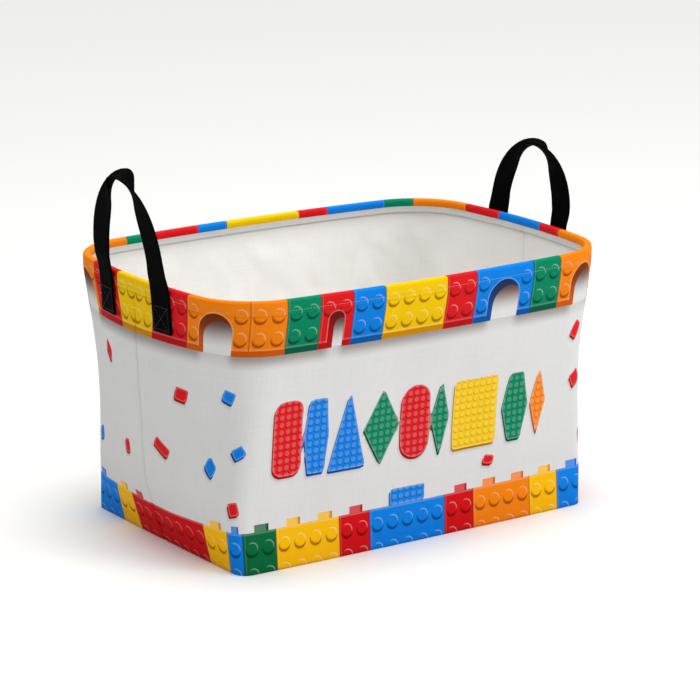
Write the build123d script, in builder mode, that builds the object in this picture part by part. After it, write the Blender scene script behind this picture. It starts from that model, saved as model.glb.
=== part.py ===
from build123d import *
import os
from collections import namedtuple
from math import acos, atan2, cos, degrees, hypot, pi, radians, sin

# Soft open-topped storage bin of printed canvas with a lining, a board in its base, a sprung
# wire hoop in its rim hem and a loop handle of webbing sewn outside each end.
# The origin is at the centre of the underside. +X runs along the long side to the right,
# the front faces -Y and +Z is up. All sizes are in millimetres.

# ---- overall sizes ----
bin_height = 228.0          # floor to the top of the rim
rim_length = 400.0          # outside of the rim, between the two ends
rim_width = 290.0           # outside of the rim, front to back
waist_height = 120.0        # the ends bulge most here, and above it the walls flare to the rim
waist_length = 394.0
waist_width = 249.0
belly_height = 48.0         # the walls lean out from the square foot to here
belly_length = 382.0
belly_width = 239.0
base_length = 350.0
base_width = 240.0

# ---- plan shape: the hoop bows the four sides outwards and rounds the corners ----
rim_corner_radius = 62.0
rim_end_bow = 600.0         # radius of the bowed ends
rim_side_bow = 1500.0       # radius of the bowed long sides
waist_corner_radius = 26.0
waist_end_bow = 270.0
belly_corner_radius = 16.0
belly_end_bow = 400.0
body_side_bow = 2800.0      # the long sides are almost straight below the rim
base_corner_radius = 12.0
foot_bow = 8000.0           # the board keeps the foot square

# ---- cloth and board ----
canvas = 1.2                # printed canvas with its backing
lining = 0.8
ply_space = 0.8             # between canvas and lining, where the seam bindings lie
board = 3.0
binding_width = 12.0
lay = 0.2                   # air between plies that lie on each other

# ---- rim ----
hem_height = 12.0
wire_diameter = 3.0
wire_end_gap = 1.0
ferrule_wall = 0.5
ferrule_length = 24.0
ferrule_fit = 0.1           # radial, between wire and ferrule
casing_fit = 0.15           # between ferrule and the hem around it
hem_seam_gap = 0.3          # between the hem and the top edge of the walls
thread = 0.4

# ---- handles ----
webbing_width = 25.0
webbing = 1.6
leg_spacing = 87.0          # centre to centre of the two legs of a loop
tail_length = 38.0          # sewn to the outside, below the top of the rim
loop_rise = {"left": 85.0, "right": 64.0}
loop_crown_radius = {"left": 8.0, "right": 9.0}
leg_straight = 8.0          # upright part of a leg above the rim
handle_lean = 5.0           # degrees outwards when the loop stands up
twist_power = {"left": 5.0, "right": 3.5}   # how late in a leg the webbing turns edge out
hinge_gap = 0.6             # between the top of a tail and the foot of the loop
side_gap = 0.3              # between a loop folded down and its tails
stitch_inset = 3.0          # from the edges of a tail to its box of stitches
loop_stations = 18          # sections from the foot of a leg to the crown

# ---- worked out ----
channel = wire_diameter + 2 * (ferrule_wall + ferrule_fit + casing_fit)
hem_thickness = channel + 2 * canvas
wire_inset = hem_thickness / 2
lining_outside = canvas + ply_space
wall_thickness = lining_outside + lining
wall_top = bin_height - hem_height - hem_seam_gap
tail_inside = thread + side_gap
tail_outside = tail_inside + webbing
board_bottom = canvas + lay
base_lining_bottom = board_bottom + board + lay

Level = namedtuple("Level", "height length width corner end_bow side_bow")
foot = Level(0.0, base_length, base_width, base_corner_radius, foot_bow, foot_bow)
belly = Level(belly_height, belly_length, belly_width, belly_corner_radius, belly_end_bow, body_side_bow)
waist = Level(waist_height, waist_length, waist_width, waist_corner_radius, waist_end_bow, body_side_bow)
brim = Level(wall_top, rim_length, rim_width, rim_corner_radius, rim_end_bow, rim_side_bow)
rim_top = brim._replace(height=bin_height)
walls = (foot, belly, waist, brim)

os.makedirs("parts", exist_ok=True)


def outline(level, grow=0.0):
    """Closed plan outline of tangent arcs at one level, grown outwards, as a sketch."""
    corner = level.corner + grow
    end_bow = level.end_bow + grow
    side_bow = level.side_bow + grow
    # The corner arc is tangent inside the end's circle and the side's circle.
    end_centre_x = level.length / 2 + grow - end_bow
    side_centre_y = level.width / 2 + grow - side_bow
    from_end = end_bow - corner
    from_side = side_bow - corner
    apart = hypot(end_centre_x, side_centre_y)
    opening = acos((from_end**2 + apart**2 - from_side**2) / (2 * from_end * apart))
    towards_side = atan2(side_centre_y, -end_centre_x)
    end_turn = opening + towards_side
    side_turn = pi / 2 - atan2(from_end * sin(end_turn) - side_centre_y,
                               end_centre_x + from_end * cos(end_turn))
    corner_turn = pi / 2 - end_turn - side_turn
    arcs = [(end_bow, end_turn), (corner, corner_turn), (side_bow, 2 * side_turn), (corner, corner_turn)]
    arcs += [(end_bow, 2 * end_turn), (corner, corner_turn), (side_bow, 2 * side_turn)]
    arcs += [(corner, corner_turn), (end_bow, end_turn)]
    with BuildSketch(Plane.XY.offset(level.height)) as plan:
        with BuildLine():
            point = Vector(level.length / 2 + grow, 0)
            heading = Vector(0, 1)
            for radius, turn in arcs:
                arc = JernArc(start=point, tangent=heading, radius=radius, arc_size=degrees(turn))
                point = arc @ 1
                heading = arc % 1
        make_face()
    return plan.sketch


def wall(levels, outside, inside):
    """Tube of straight-sided spans through the levels, between two offsets from the outside."""
    loft(sections=[outline(level, outside) for level in levels], ruled=True)
    loft(sections=[outline(level, inside) for level in levels], ruled=True, mode=Mode.SUBTRACT)


def slab(bottom, thickness, inset):
    """Flat piece that fills the foot of the bin inside an inset from its outside."""
    extrude(outline(foot._replace(height=bottom), -inset), amount=thickness)


def finish(piece, name):
    piece.part.label = name
    export_step(piece.part, f"parts/{name}.step")


# ---- base: printed panel underneath, board, lining over the board ----
with BuildPart() as base_panel:
    slab(0.0, canvas, canvas + lay)
finish(base_panel, "base_panel")

with BuildPart() as base_board:
    slab(board_bottom, board, wall_thickness + 2 * lay)
finish(base_board, "base_board")

with BuildPart() as base_lining:
    slab(base_lining_bottom, lining, wall_thickness + 2 * lay)
finish(base_lining, "base_lining")

# ---- walls: a front and a back half, seamed at the middle of each end ----
half_sides = {"front": Keep.BOTTOM, "back": Keep.TOP}
end_sides = {"left": -1, "right": 1}
seam_plane = Plane(origin=(0, 0, 0), x_dir=(1, 0, 0), z_dir=(0, 1, 0))
lining_levels = (foot._replace(height=board_bottom), belly, waist, brim)

for half, kept in half_sides.items():
    with BuildPart() as panel:
        wall(walls, 0.0, -canvas)
        split(bisect_by=seam_plane, keep=kept)
    finish(panel, f"{half}_panel")

    with BuildPart() as half_lining:
        wall(lining_levels, -lining_outside, -wall_thickness)
        split(bisect_by=seam_plane, keep=kept)
    finish(half_lining, f"{half}_lining")

for end, side in end_sides.items():
    with BuildPart() as binding:
        wall(lining_levels, lay / 2 - canvas - lay, lay - lining_outside)
        with Locations((side * rim_length / 2, 0, 0)):
            Box(rim_length / 2, binding_width, 2 * bin_height, mode=Mode.INTERSECT)
    finish(binding, f"{end}_seam_binding")

# ---- rim: hem around a wire hoop whose ends meet in a ferrule ----
hem_foot = rim_top._replace(height=bin_height - hem_height)
channel_foot = rim_top._replace(height=bin_height - canvas - channel)
wire_level = rim_top._replace(height=bin_height - canvas - channel / 2)

for half, kept in half_sides.items():
    with BuildPart() as hem:
        extrude(outline(hem_foot), amount=hem_height)
        extrude(outline(hem_foot, -hem_thickness), amount=hem_height, mode=Mode.SUBTRACT)
        with BuildPart(mode=Mode.SUBTRACT):
            extrude(outline(channel_foot, -canvas), amount=channel)
            extrude(outline(channel_foot, canvas - hem_thickness), amount=channel, mode=Mode.SUBTRACT)
        split(bisect_by=seam_plane, keep=kept)
    finish(hem, f"{half}_rim_hem")

with BuildPart() as rim_wire:
    hoop = outline(wire_level, -wire_inset).wires()[0]
    with BuildSketch(Plane(origin=hoop @ 0, z_dir=hoop % 0)):
        Circle(wire_diameter / 2)
    sweep(path=hoop)
    with Locations((0, rim_width / 2 - wire_inset, wire_level.height)):
        Box(wire_end_gap, channel, channel, mode=Mode.SUBTRACT)
finish(rim_wire, "rim_wire")

ferrule_centre = (0, rim_width / 2 - wire_inset, wire_level.height)
with BuildPart() as rim_ferrule:
    with Locations(Location(ferrule_centre, (0, 90, 0))):
        Cylinder(wire_diameter / 2 + ferrule_fit + ferrule_wall, ferrule_length)
        Hole(wire_diameter / 2 + ferrule_fit)
finish(rim_ferrule, "rim_ferrule")

with BuildPart() as hem_stitching:
    row = hem_foot._replace(height=hem_foot.height + stitch_inset)
    extrude(outline(row, thread + lay / 4), amount=thread)
    extrude(outline(row, lay / 4), amount=thread, mode=Mode.SUBTRACT)
finish(hem_stitching, "hem_stitching")

# ---- handle tails: webbing sewn flat to the outside of the rim, and its stitches ----
leg_sides = {"front": -1, "rear": 1}
tail_levels = (waist, brim, rim_top)
tail_middle = bin_height - tail_length / 2

for end, side in end_sides.items():
    for leg, depth in leg_sides.items():
        with BuildPart() as tail:
            wall(tail_levels, tail_outside, tail_inside)
            with Locations((side * rim_length / 2, depth * leg_spacing / 2, tail_middle)):
                Box(rim_length / 2, webbing_width, tail_length, mode=Mode.INTERSECT)
        finish(tail, f"{end}_{leg}_tail")

    # A box of stitches with a cross in it, low on each tail.
    box_size = webbing_width - 2 * stitch_inset
    cross_length = box_size * 2**0.5
    box_middle = bin_height - tail_length + stitch_inset + box_size / 2
    end_plane = Plane(origin=(0, 0, 0), x_dir=(0, 1, 0), z_dir=(1, 0, 0))
    with BuildPart() as handle_stitching:
        wall(tail_levels, tail_outside + lay / 4 + thread, tail_outside + lay / 4)
        with BuildPart(mode=Mode.INTERSECT):
            with BuildSketch(end_plane):
                with Locations(*[(depth * leg_spacing / 2, box_middle) for depth in leg_sides.values()]):
                    Rectangle(box_size, box_size)
                    Rectangle(box_size - 2 * thread, box_size - 2 * thread, mode=Mode.SUBTRACT)
                    Rectangle(cross_length - 2 * thread, thread, rotation=45)
                    Rectangle(cross_length - 2 * thread, thread, rotation=-45)
            extrude(amount=side * rim_length)
    finish(handle_stitching, f"{end}_handle_stitching")

# ---- handle loops: each stands on a hinge line just outside and above its tails ----
# The line clears the tails where the bowed end comes furthest out beside a leg.
nearest_leg_edge = leg_spacing / 2 - webbing_width / 2
end_drop = rim_end_bow - (rim_end_bow**2 - nearest_leg_edge**2) ** 0.5
hinge_x = rim_length / 2 - end_drop + tail_outside + side_gap + webbing / 2
hinge_z = bin_height + hinge_gap + webbing / 2


def arch(rise, crown, share):
    """Point and heading on half of a loop's middle line, from its foot (0) to its crown (1)."""
    half_span = leg_spacing / 2
    climb = rise - webbing / 2 - crown - leg_straight
    bend = (half_span**2 + climb**2 - crown**2) / (2 * (half_span - crown))
    lean_in = atan2(climb, bend - half_span)
    bend_length = bend * lean_in
    total = leg_straight + bend_length + crown * (pi / 2 - lean_in)
    along = share * total
    if along < leg_straight:
        return (-half_span, along), 0.0
    if along < leg_straight + bend_length:
        turn = (along - leg_straight) / bend
        return (-half_span + bend * (1 - cos(turn)), leg_straight + bend * sin(turn)), turn
    turn = min(lean_in + (along - leg_straight - bend_length) / crown, pi / 2)
    return (-crown * cos(turn), leg_straight + climb + crown * sin(turn)), turn


for end, side in end_sides.items():
    upright = Vector(side * sin(radians(handle_lean)), 0, cos(radians(handle_lean)))
    across = Vector(0, 1, 0)
    outwards = Vector(side * cos(radians(handle_lean)), 0, -sin(radians(handle_lean)))
    hinge = Vector(side * hinge_x, 0, hinge_z)
    with BuildPart() as handle_loop:
        for station in range(2 * loop_stations + 1):
            # The far leg mirrors the near one about the crown.
            leg = 1 if station <= loop_stations else -1
            share = 1 - abs(station - loop_stations) / loop_stations
            (offset, height), turn = arch(loop_rise[end], loop_crown_radius[end], share)
            twist = pi / 2 * share ** twist_power[end]
            heading = across * sin(turn) + upright * (leg * cos(turn))
            level_across = across * (-leg * cos(turn)) + upright * sin(turn)
            sense = -side * leg
            width_way = level_across * (sense * cos(twist)) + outwards * sin(twist)
            middle = hinge + across * (leg * offset) + upright * height
            with BuildSketch(Plane(origin=middle, x_dir=width_way, z_dir=heading)):
                Rectangle(webbing_width, webbing)
        loft(ruled=True)
        with Locations(*[Location(hinge + across * (depth * leg_spacing / 2), (90, 0, 0)) for depth in (-1, 1)]):
            Cylinder(webbing / 2, webbing_width)
    finish(handle_loop, f"{end}_handle_loop")
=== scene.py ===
from math import acos, atan2, cos, hypot, pi, radians, sin

import bmesh
import bpy
import numpy as np
from mathutils import Matrix, Vector, noise


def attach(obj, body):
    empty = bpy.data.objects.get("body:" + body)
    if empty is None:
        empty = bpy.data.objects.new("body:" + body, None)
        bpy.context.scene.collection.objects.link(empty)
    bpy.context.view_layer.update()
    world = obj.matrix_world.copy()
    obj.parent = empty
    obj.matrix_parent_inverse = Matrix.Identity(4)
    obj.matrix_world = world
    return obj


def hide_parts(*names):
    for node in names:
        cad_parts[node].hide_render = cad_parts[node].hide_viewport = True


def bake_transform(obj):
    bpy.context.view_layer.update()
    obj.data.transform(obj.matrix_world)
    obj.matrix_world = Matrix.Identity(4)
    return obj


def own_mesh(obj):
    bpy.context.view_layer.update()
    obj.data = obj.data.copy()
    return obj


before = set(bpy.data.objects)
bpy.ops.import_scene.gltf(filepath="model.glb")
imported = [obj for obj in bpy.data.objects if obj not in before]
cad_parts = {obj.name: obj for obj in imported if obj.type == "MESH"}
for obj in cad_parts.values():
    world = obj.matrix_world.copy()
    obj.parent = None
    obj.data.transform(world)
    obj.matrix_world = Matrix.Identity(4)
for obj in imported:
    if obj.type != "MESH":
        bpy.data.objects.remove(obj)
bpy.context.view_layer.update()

# ---- studio ----
# A plain pale floor, a surround that is brightest overhead, and three soft lights, the largest
# from the front right. The camera stands well back, so the long sides stay nearly parallel.
MM = 0.001

view_turn = radians(-33.89)
view_tilt = radians(14.6)
view_roll = radians(-0.34)
view_distance = 2.58736
view_target = Vector((0.01133, 0.0, 0.1356))
sensor_width = 36.0
view_lens = 155.69

back = Vector((sin(view_turn) * cos(view_tilt), -cos(view_turn) * cos(view_tilt), sin(view_tilt)))
right = Vector((cos(view_turn), sin(view_turn), 0))
up = right.cross(-back)
right, up = right * cos(view_roll) + up * sin(view_roll), up * cos(view_roll) - right * sin(view_roll)
camera = bpy.data.objects.new("camera", bpy.data.cameras.new("camera"))
camera.data.sensor_width = sensor_width
camera.data.lens = view_lens
camera.data.clip_end = 60
camera.matrix_world = Matrix((right, up, back)).transposed().to_4x4()
camera.matrix_world.translation = view_target + back * view_distance
bpy.context.scene.collection.objects.link(camera)
bpy.context.scene.camera = camera
bpy.context.scene.view_settings.view_transform = "Standard"

world = bpy.data.worlds.new("white_surround")
world.use_nodes = True
surround = world.node_tree.nodes["Background"]
surround.inputs["Color"].default_value = (1.0, 0.998, 0.995, 1)
sky = world.node_tree
sky_way = sky.nodes.new("ShaderNodeTexCoord")
sky_split = sky.nodes.new("ShaderNodeSeparateXYZ")
sky.links.new(sky_way.outputs["Generated"], sky_split.inputs[0])
sky_strength = sky.nodes.new("ShaderNodeMath")
sky_strength.operation = "MULTIPLY"
# how strength changes from the horizon to overhead, and from the left to the right
for socket, axis, limits in ((0, "Z", (0.0, 1.0, 0.05, 1.28)), (1, "X", (-1.0, 1.0, 0.72, 1.28))):
    change = sky.nodes.new("ShaderNodeMapRange")
    for number, limit in enumerate(limits, start=1):
        change.inputs[number].default_value = limit
    sky.links.new(sky_split.outputs[axis], change.inputs[0])
    sky.links.new(change.outputs[0], sky_strength.inputs[socket])
sky.links.new(sky_strength.outputs[0], surround.inputs["Strength"])
bpy.context.scene.world = world


def soft_light(name, place, aim, size, power):
    light = bpy.data.objects.new(name, bpy.data.lights.new(name, "AREA"))
    light.data.shape = "DISK"
    light.data.size = size
    light.data.energy = power
    light.location = place
    light.rotation_euler = (Vector(aim) - Vector(place)).to_track_quat("-Z", "Y").to_euler()
    bpy.context.scene.collection.objects.link(light)


soft_light("main_light", (1.5, -2.3, 1.9), (0, 0, 0.12), 1.4, 30)
soft_light("top_light", (0.0, -0.1, 2.3), (0, 0, 0), 1.0, 12)
soft_light("inner_light", (-0.1, 0.08, 0.75), (0.14, 0.03, 0.14), 0.3, 0.7)


def plain_mesh(name, points, faces, smooth=True):
    """New object in the scene from points in millimetres."""
    mesh = bpy.data.meshes.new(name)
    mesh.from_pydata((np.asarray(points) * MM).tolist(), [], faces)
    if smooth:
        mesh.shade_smooth()
    piece = bpy.data.objects.new(name, mesh)
    bpy.context.scene.collection.objects.link(piece)
    return piece


def add(tree, kind, **settings):
    node = tree.nodes.new(kind)
    for key, value in settings.items():
        setattr(node, key, value)
    return node


def feed(tree, socket, value):
    value = getattr(value, "socket", value)
    if isinstance(value, bpy.types.NodeSocket):
        tree.links.new(value, socket)
    else:
        socket.default_value = value


class Number:
    """A number in a shader tree. Arithmetic and comparisons on it add Math nodes."""

    def __init__(self, tree, socket):
        self.tree = tree
        self.socket = socket

    def math(self, operation, *others):
        return calc(self.tree, operation, self, *others)

    def __add__(self, other):
        return self.math("ADD", other)

    def __sub__(self, other):
        return self.math("SUBTRACT", other)

    def __rsub__(self, other):
        return calc(self.tree, "SUBTRACT", other, self)

    def __mul__(self, other):
        return self.math("MULTIPLY", other)

    def __truediv__(self, other):
        return self.math("DIVIDE", other)

    def __lt__(self, other):
        return self.math("LESS_THAN", other)

    def __gt__(self, other):
        return self.math("GREATER_THAN", other)

    def __abs__(self):
        return self.math("ABSOLUTE")


def calc(tree, operation, *values):
    node = add(tree, "ShaderNodeMath", operation=operation)
    for socket, value in zip(node.inputs, values):
        feed(tree, socket, value)
    return Number(tree, node.outputs[0])


def soft_step(value, low, high, result_low=0.0, result_high=1.0):
    node = add(value.tree, "ShaderNodeMapRange", interpolation_type="SMOOTHSTEP")
    for socket, given in zip(node.inputs, (value, low, high, result_low, result_high)):
        feed(value.tree, socket, given)
    return Number(value.tree, node.outputs[0])


def soft_line(value, middle, reach, core=0.1):
    """A line where the value is near its middle, fading out by its reach."""
    return soft_step(abs(value - middle), reach, core)


def blend_colour(tree, share, first, second, way="MIX"):
    node = add(tree, "ShaderNodeMix", data_type="RGBA", blend_type=way)
    feed(tree, node.inputs[0], share)
    feed(tree, node.inputs[6], first)
    feed(tree, node.inputs[7], second)
    return node.outputs[2]


def split_xyz(tree, vector):
    node = add(tree, "ShaderNodeSeparateXYZ")
    feed(tree, node.inputs[0], vector)
    return [Number(tree, socket) for socket in node.outputs]


def grain(tree, scale, detail=2.0, place=None):
    """Noise on Object coordinates, or on a given place."""
    node = add(tree, "ShaderNodeTexNoise")
    node.inputs["Scale"].default_value = scale
    node.inputs["Detail"].default_value = detail
    if place is None:
        place = add(tree, "ShaderNodeTexCoord").outputs["Object"]
    feed(tree, node.inputs["Vector"], place)
    return Number(tree, node.outputs[0])


def make_group(name, inputs, outputs):
    """Shader node group with (label, default) inputs and named outputs. Tuples are colours."""
    tree = bpy.data.node_groups.new(name, "ShaderNodeTree")
    for label, value in inputs:
        kind = "NodeSocketColor" if isinstance(value, tuple) else "NodeSocketFloat"
        tree.interface.new_socket(label, in_out="INPUT", socket_type=kind).default_value = value
    for label, kind in outputs:
        tree.interface.new_socket(label, in_out="OUTPUT", socket_type=kind)
    given = {socket.name: Number(tree, socket) for socket in tree.nodes.new("NodeGroupInput").outputs}
    return tree, given, tree.nodes.new("NodeGroupOutput").inputs


def use_group(tree, group, **values):
    """Places a group. Keywords are its input names in lower case with _ for spaces."""
    node = add(tree, "ShaderNodeGroup", node_tree=group)
    for socket in node.inputs:
        key = socket.name.lower().replace(" ", "_")
        if key in values:
            feed(tree, socket, values[key])
    return node.outputs


def new_material(name):
    material = bpy.data.materials.new(name)
    material.use_nodes = True
    tree = material.node_tree
    shader = tree.nodes["Principled BSDF"]
    return material, tree, shader


def relief(tree, shader, height, strength, distance):
    bump = add(tree, "ShaderNodeBump")
    bump.inputs["Strength"].default_value = strength
    bump.inputs["Distance"].default_value = distance
    feed(tree, bump.inputs["Height"], height)
    feed(tree, shader.inputs["Normal"], bump.outputs[0])


def ink(red, green, blue):
    """Linear colour from display values of 0 to 255."""
    shares = [v / 255 for v in (red, green, blue)]
    return tuple(v / 12.92 if v < 0.04045 else ((v + 0.055) / 1.055) ** 2.4 for v in shares) + (1.0,)


floor_size = 12000
floor_corners = [(x * floor_size, y * floor_size, -0.3) for x, y in ((-1, -1), (1, -1), (1, 1), (-1, 1))]
floor = plain_mesh("floor", floor_corners, [(0, 1, 2, 3)], smooth=False)
floor_paint, floor_tree, floor_shader = new_material("floor_paint")
floor_grain = add(floor_tree, "ShaderNodeTexNoise")
floor_grain.inputs["Scale"].default_value = 3
floor_shader.inputs["Roughness"].default_value = 0.75
floor_shader.inputs["Specular IOR Level"].default_value = 0.2
floor_tone = blend_colour(floor_tree, floor_grain.outputs[0], (0.93, 0.93, 0.91, 1), (0.95, 0.95, 0.935, 1))
feed(floor_tree, floor_shader.inputs["Base Color"], floor_tone)
floor.data.materials.append(floor_paint)

# ---- base board ----
# A flat grey fibre board lies loose in the foot, between the base cloth and its lining, and
# keeps the bin's corners square. It is die-cut, with faintly darker edges.


def fibres(name, pale, dark, scale, roughness, strength):
    """Matt pressed-fibre or woven finish on Object coordinates."""
    material, tree, shader = new_material(name)
    felt = grain(tree, scale, 6)
    feed(tree, shader.inputs["Base Color"], blend_colour(tree, felt, pale, dark))
    shader.inputs["Roughness"].default_value = roughness
    relief(tree, shader, felt, strength, 0.0003)
    return material


def repaint(node, material):
    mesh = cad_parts[node].data
    mesh.materials.clear()
    mesh.materials.append(material)


repaint("base_board", fibres("board_finish", ink(172, 166, 154), ink(120, 113, 100), 260, 0.9, 0.5))

# ---- printed walls ----
# Two halves of printed canvas make the walls, seamed at the middle of each end. Each half
# hangs from the rim's hoop and is sewn to the square base, so its ends belly out between.
# Each level's plan: length, width, corner radius, radius of the bowed ends, of the bowed sides.
hem_seam = 215.7
half_levels = {
    0.0: (350.0, 240.0, 12.0, 8000.0, 8000.0),
    48.0: (382.0, 239.0, 16.0, 400.0, 2800.0),
    120.0: (394.0, 249.0, 26.0, 270.0, 2800.0),
    hem_seam: (400.0, 290.0, 62.0, 600.0, 1500.0),
}
bin_height = 228.0
wall_top = 215.9
canvas = 1.2
arc_steps = (34, 30, 96, 30, 34)     # points on each arc of half an outline
row_step = 2.6
cloth_span = 640.0          # millimetres of cloth across the whole UV map
inside_map_row = 0.43       # where the hidden face of the cloth starts in the UV map


def half_outline(level, grow=0.0):
    """Plan of one half at one level, from the left seam round the front to the right seam."""
    length, width, corner, end_bow, side_bow = level
    corner += grow
    end_bow += grow
    side_bow += grow
    end_centre = length / 2 + grow - end_bow
    side_centre = width / 2 + grow - side_bow
    from_end = end_bow - corner
    from_side = side_bow - corner
    apart = hypot(end_centre, side_centre)
    opening = acos((from_end**2 + apart**2 - from_side**2) / (2 * from_end * apart))
    end_turn = opening + atan2(side_centre, -end_centre)
    rise = from_end * sin(end_turn) - side_centre
    side_turn = pi / 2 - atan2(rise, end_centre + from_end * cos(end_turn))
    corner_turn = pi / 2 - end_turn - side_turn
    arcs = [(end_bow, end_turn), (corner, corner_turn), (side_bow, 2 * side_turn)]
    arcs += [(corner, corner_turn), (end_bow, end_turn)]
    spot = np.array((-length / 2 - grow, 0.0))
    heading = -pi / 2
    points = [spot]
    for (radius, turn), steps in zip(arcs, arc_steps):
        centre = spot + radius * np.array((-sin(heading), cos(heading)))
        for step in range(1, steps + 1):
            now = heading + turn * step / steps
            points.append(centre + radius * np.array((sin(now), -cos(now))))
        heading += turn
        spot = points[-1]
    return np.array(points)


def wall_rows(heights, grow):
    """Outlines at the given heights, smooth through the levels: (rows, columns, 2)."""
    known = np.array(sorted(half_levels))
    shapes = np.array([half_outline(half_levels[h], grow) for h in known])
    gaps = np.diff(known)
    slopes = np.diff(shapes, axis=0) / gaps[:, None, None]
    lean = np.concatenate((slopes[:1], slopes[:-1], slopes[-1:]))
    for k in range(1, len(known) - 1):
        lean[k] = (gaps[k] * slopes[k - 1] + gaps[k - 1] * slopes[k]) / (gaps[k] + gaps[k - 1])
    rows = []
    for height in heights:
        k = min(max(int(np.searchsorted(known, height)) - 1, 0), len(known) - 2)
        t = min((height - known[k]) / gaps[k], 1.0)
        rows.append((2 * t**3 - 3 * t**2 + 1) * shapes[k] + (t**3 - 2 * t**2 + t) * gaps[k] * lean[k]
                    + (3 * t**2 - 2 * t**3) * shapes[k + 1] + (t**3 - t**2) * gaps[k] * lean[k + 1])
    return np.array(rows)


def along_cloth(rows):
    """Millimetres along each row from its middle, and the outward direction in plan."""
    steps = np.linalg.norm(np.diff(rows, axis=1), axis=2)
    run = np.concatenate((np.zeros((len(rows), 1)), np.cumsum(steps, axis=1)), axis=1)
    tangent = np.gradient(rows, axis=1)
    tangent /= np.linalg.norm(tangent, axis=2, keepdims=True)
    outward = np.stack((tangent[..., 1], -tangent[..., 0]), -1)
    return run - run[:, -1:] / 2, outward


def rise_and_fall(value, start, full, fade, end):
    up_share = np.clip((value - start) / (full - start), 0, 1)
    down_share = np.clip((end - value) / (end - fade), 0, 1)
    return up_share**2 * (3 - 2 * up_share) * down_share**2 * (3 - 2 * down_share)


def slack(across, height, seed):
    """How far the cloth stands off its true shape, in mm: long soft folds, then small creases."""
    folds = np.array([
        noise.noise(Vector((a / 46, h / 150, seed))) * 1.7
        + noise.noise(Vector((a / 19 + h / 120, h / 70, seed + 7))) * 0.55
        + noise.noise(Vector((a / 60 - h / 45, h / 40, seed + 19))) * 0.55
        for a, h in zip(across.ravel(), height.ravel())
    ]).reshape(across.shape)
    return folds * rise_and_fall(height, 4, 40, 150, 188)


def cloth_piece(name, outside, inside, outside_map, inside_map):
    """Closed sheet from two grids of points (rows, columns, 3) with a UV map in cloth lengths."""
    index = np.arange(outside.shape[0] * outside.shape[1]).reshape(outside.shape[:2])
    count = index.size
    a, b, c, d = (g.ravel() for g in (index[:-1, :-1], index[:-1, 1:], index[1:, 1:], index[1:, :-1]))
    faces = [np.stack((a, b, c, d), 1), np.stack((a, d, c, b), 1) + count]
    sheet_faces = 2 * len(a)
    for edge, forward in ((index[0], False), (index[-1], True), (index[:, 0], True), (index[:, -1], False)):
        near, far = edge[:-1], edge[1:]
        ring = (near, far, far + count, near + count) if forward else (near, near + count, far + count, far)
        faces.append(np.stack(ring, 1))
    faces = np.concatenate(faces)
    points = np.concatenate((outside.reshape(-1, 3), inside.reshape(-1, 3)))
    piece = plain_mesh(name, points, faces.tolist())
    flat = np.ones(len(faces), bool)
    flat[sheet_faces:] = False
    piece.data.polygons.foreach_set("use_smooth", flat)
    places = np.concatenate((outside_map.reshape(-1, 2), inside_map.reshape(-1, 2)))
    corners = faces.copy()
    corners[sheet_faces:] %= count
    piece.data.uv_layers.new(name="OFBake").data.foreach_set("uv", places[corners.ravel()].ravel())
    return piece


# Both halves and the tape between them stand off by the same amount beside a seam.
seam_place = 290.0
seam_flat = 8.0
seam_reach = 24.0


def seam_slack(heights, side):
    return slack(np.full(len(heights), side * seam_place), np.asarray(heights), 3.0)


def wall_piece(name, turned, bottom, outer_offset, thickness, creases, extra):
    """One half wall between two offsets inwards from the bin's outside."""
    heights = np.linspace(bottom, wall_top, int((wall_top - bottom) / row_step))
    upright = np.repeat(heights[:, None], sum(arc_steps) + 1, axis=1)
    place, outward = along_cloth(wall_rows(heights, 0.0))
    give = slack(place, upright, 3.0 + 40 * turned)
    end_gap = place[:, -1:] - np.abs(place)
    groove = creases * np.exp(-((end_gap / 1.3) ** 2))
    near_seam = 1 - rise_and_fall(end_gap, seam_flat, seam_flat + seam_reach, 1e4, 2e4)
    at_left = (place < 0) != turned
    shared = np.where(at_left, seam_slack(heights, -1)[:, None], seam_slack(heights, 1)[:, None])
    push = (give + extra(place, upright)) * (1 - near_seam) + shared * near_seam - groove
    faces = []
    for offset in (outer_offset, outer_offset + thickness):
        plan = wall_rows(heights, -offset) + outward * push[..., None]
        faces.append(np.concatenate((plan, upright[..., None]), -1))
    if turned:
        faces = [grid * (-1, -1, 1) for grid in faces]
    maps = [np.stack((0.5 + place / cloth_span, low + upright / cloth_span), -1)
            for low in (0.0, inside_map_row)]
    return cloth_piece(name, faces[0], faces[1], *maps), place, upright


# The print is a border of toy bricks along the rim and another along the foot. Both sit on
# the same columns, one column for each stud.
column_width = 15.0
column_start = 10.0
first_column = -24
column_count = 48

orange = ink(240, 130, 14)
yellow = ink(240, 196, 4)
red = ink(216, 26, 32)
blue = ink(8, 126, 222)
green = ink(0, 132, 94)
pine = ink(2, 104, 58)
deep_yellow = ink(246, 186, 8)
deep_red = ink(206, 14, 22)
wide_arch = 16.0
small_arch = 7.0


def length_of(x, y):
    return (x * x + y * y).math("SQRT")


def arch_top(radius):
    """A wide arch comes up to 10.5 mm below the rim, a small one to 14.5 mm."""
    return radius * -0.444 + 17.6


def arch_opening(across, down, radius):
    """Distance in mm to the edge of a round-topped opening in a brick, below zero inside it."""
    below = (down - arch_top(radius) - radius).math("MINIMUM", 0.0)
    return length_of(across, below) - radius


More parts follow.
